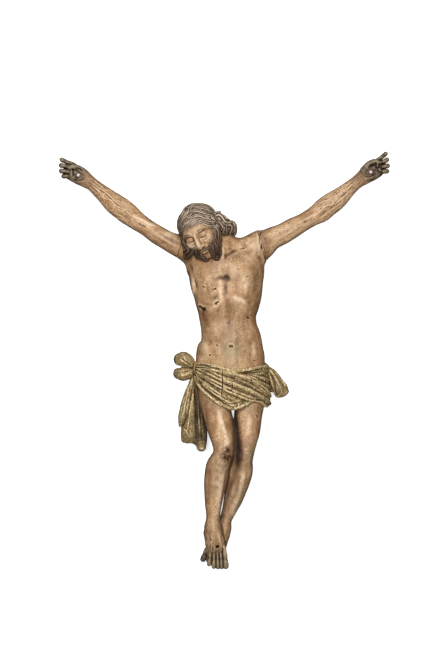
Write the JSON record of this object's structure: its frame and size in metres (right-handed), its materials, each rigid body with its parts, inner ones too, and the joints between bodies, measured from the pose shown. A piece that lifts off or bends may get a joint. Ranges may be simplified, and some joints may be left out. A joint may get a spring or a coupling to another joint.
{
  "type": "crucifix corpus figure",
  "caption": "Carved and painted wooden figure of Christ from a large crucifix, arms raised, head bowed to one side, gilded knotted loincloth, lying on its back.",
  "frame": {"origin": "on the plane of the cross, under the middle of the figure's overall box", "axes": "+Z out of the figure's chest, +Y towards its head, +X towards its left hand"},
  "size_m": [0.7316, 0.9222, 0.1339],
  "materials": {
    "flesh_paint": "aged satin flesh paint on gessoed wood, brown grime in the hollows, small losses and worm holes",
    "gilding": "dull aged gilding on carved wood, dark brown in the folds, worn to the red ground in places"
  },
  "bodies": {
    "root": {"body": "flesh_paint", "right_arm": "flesh_paint", "left_arm": "flesh_paint", "loincloth_knot": "gilding"}
  },
  "joints": []
}
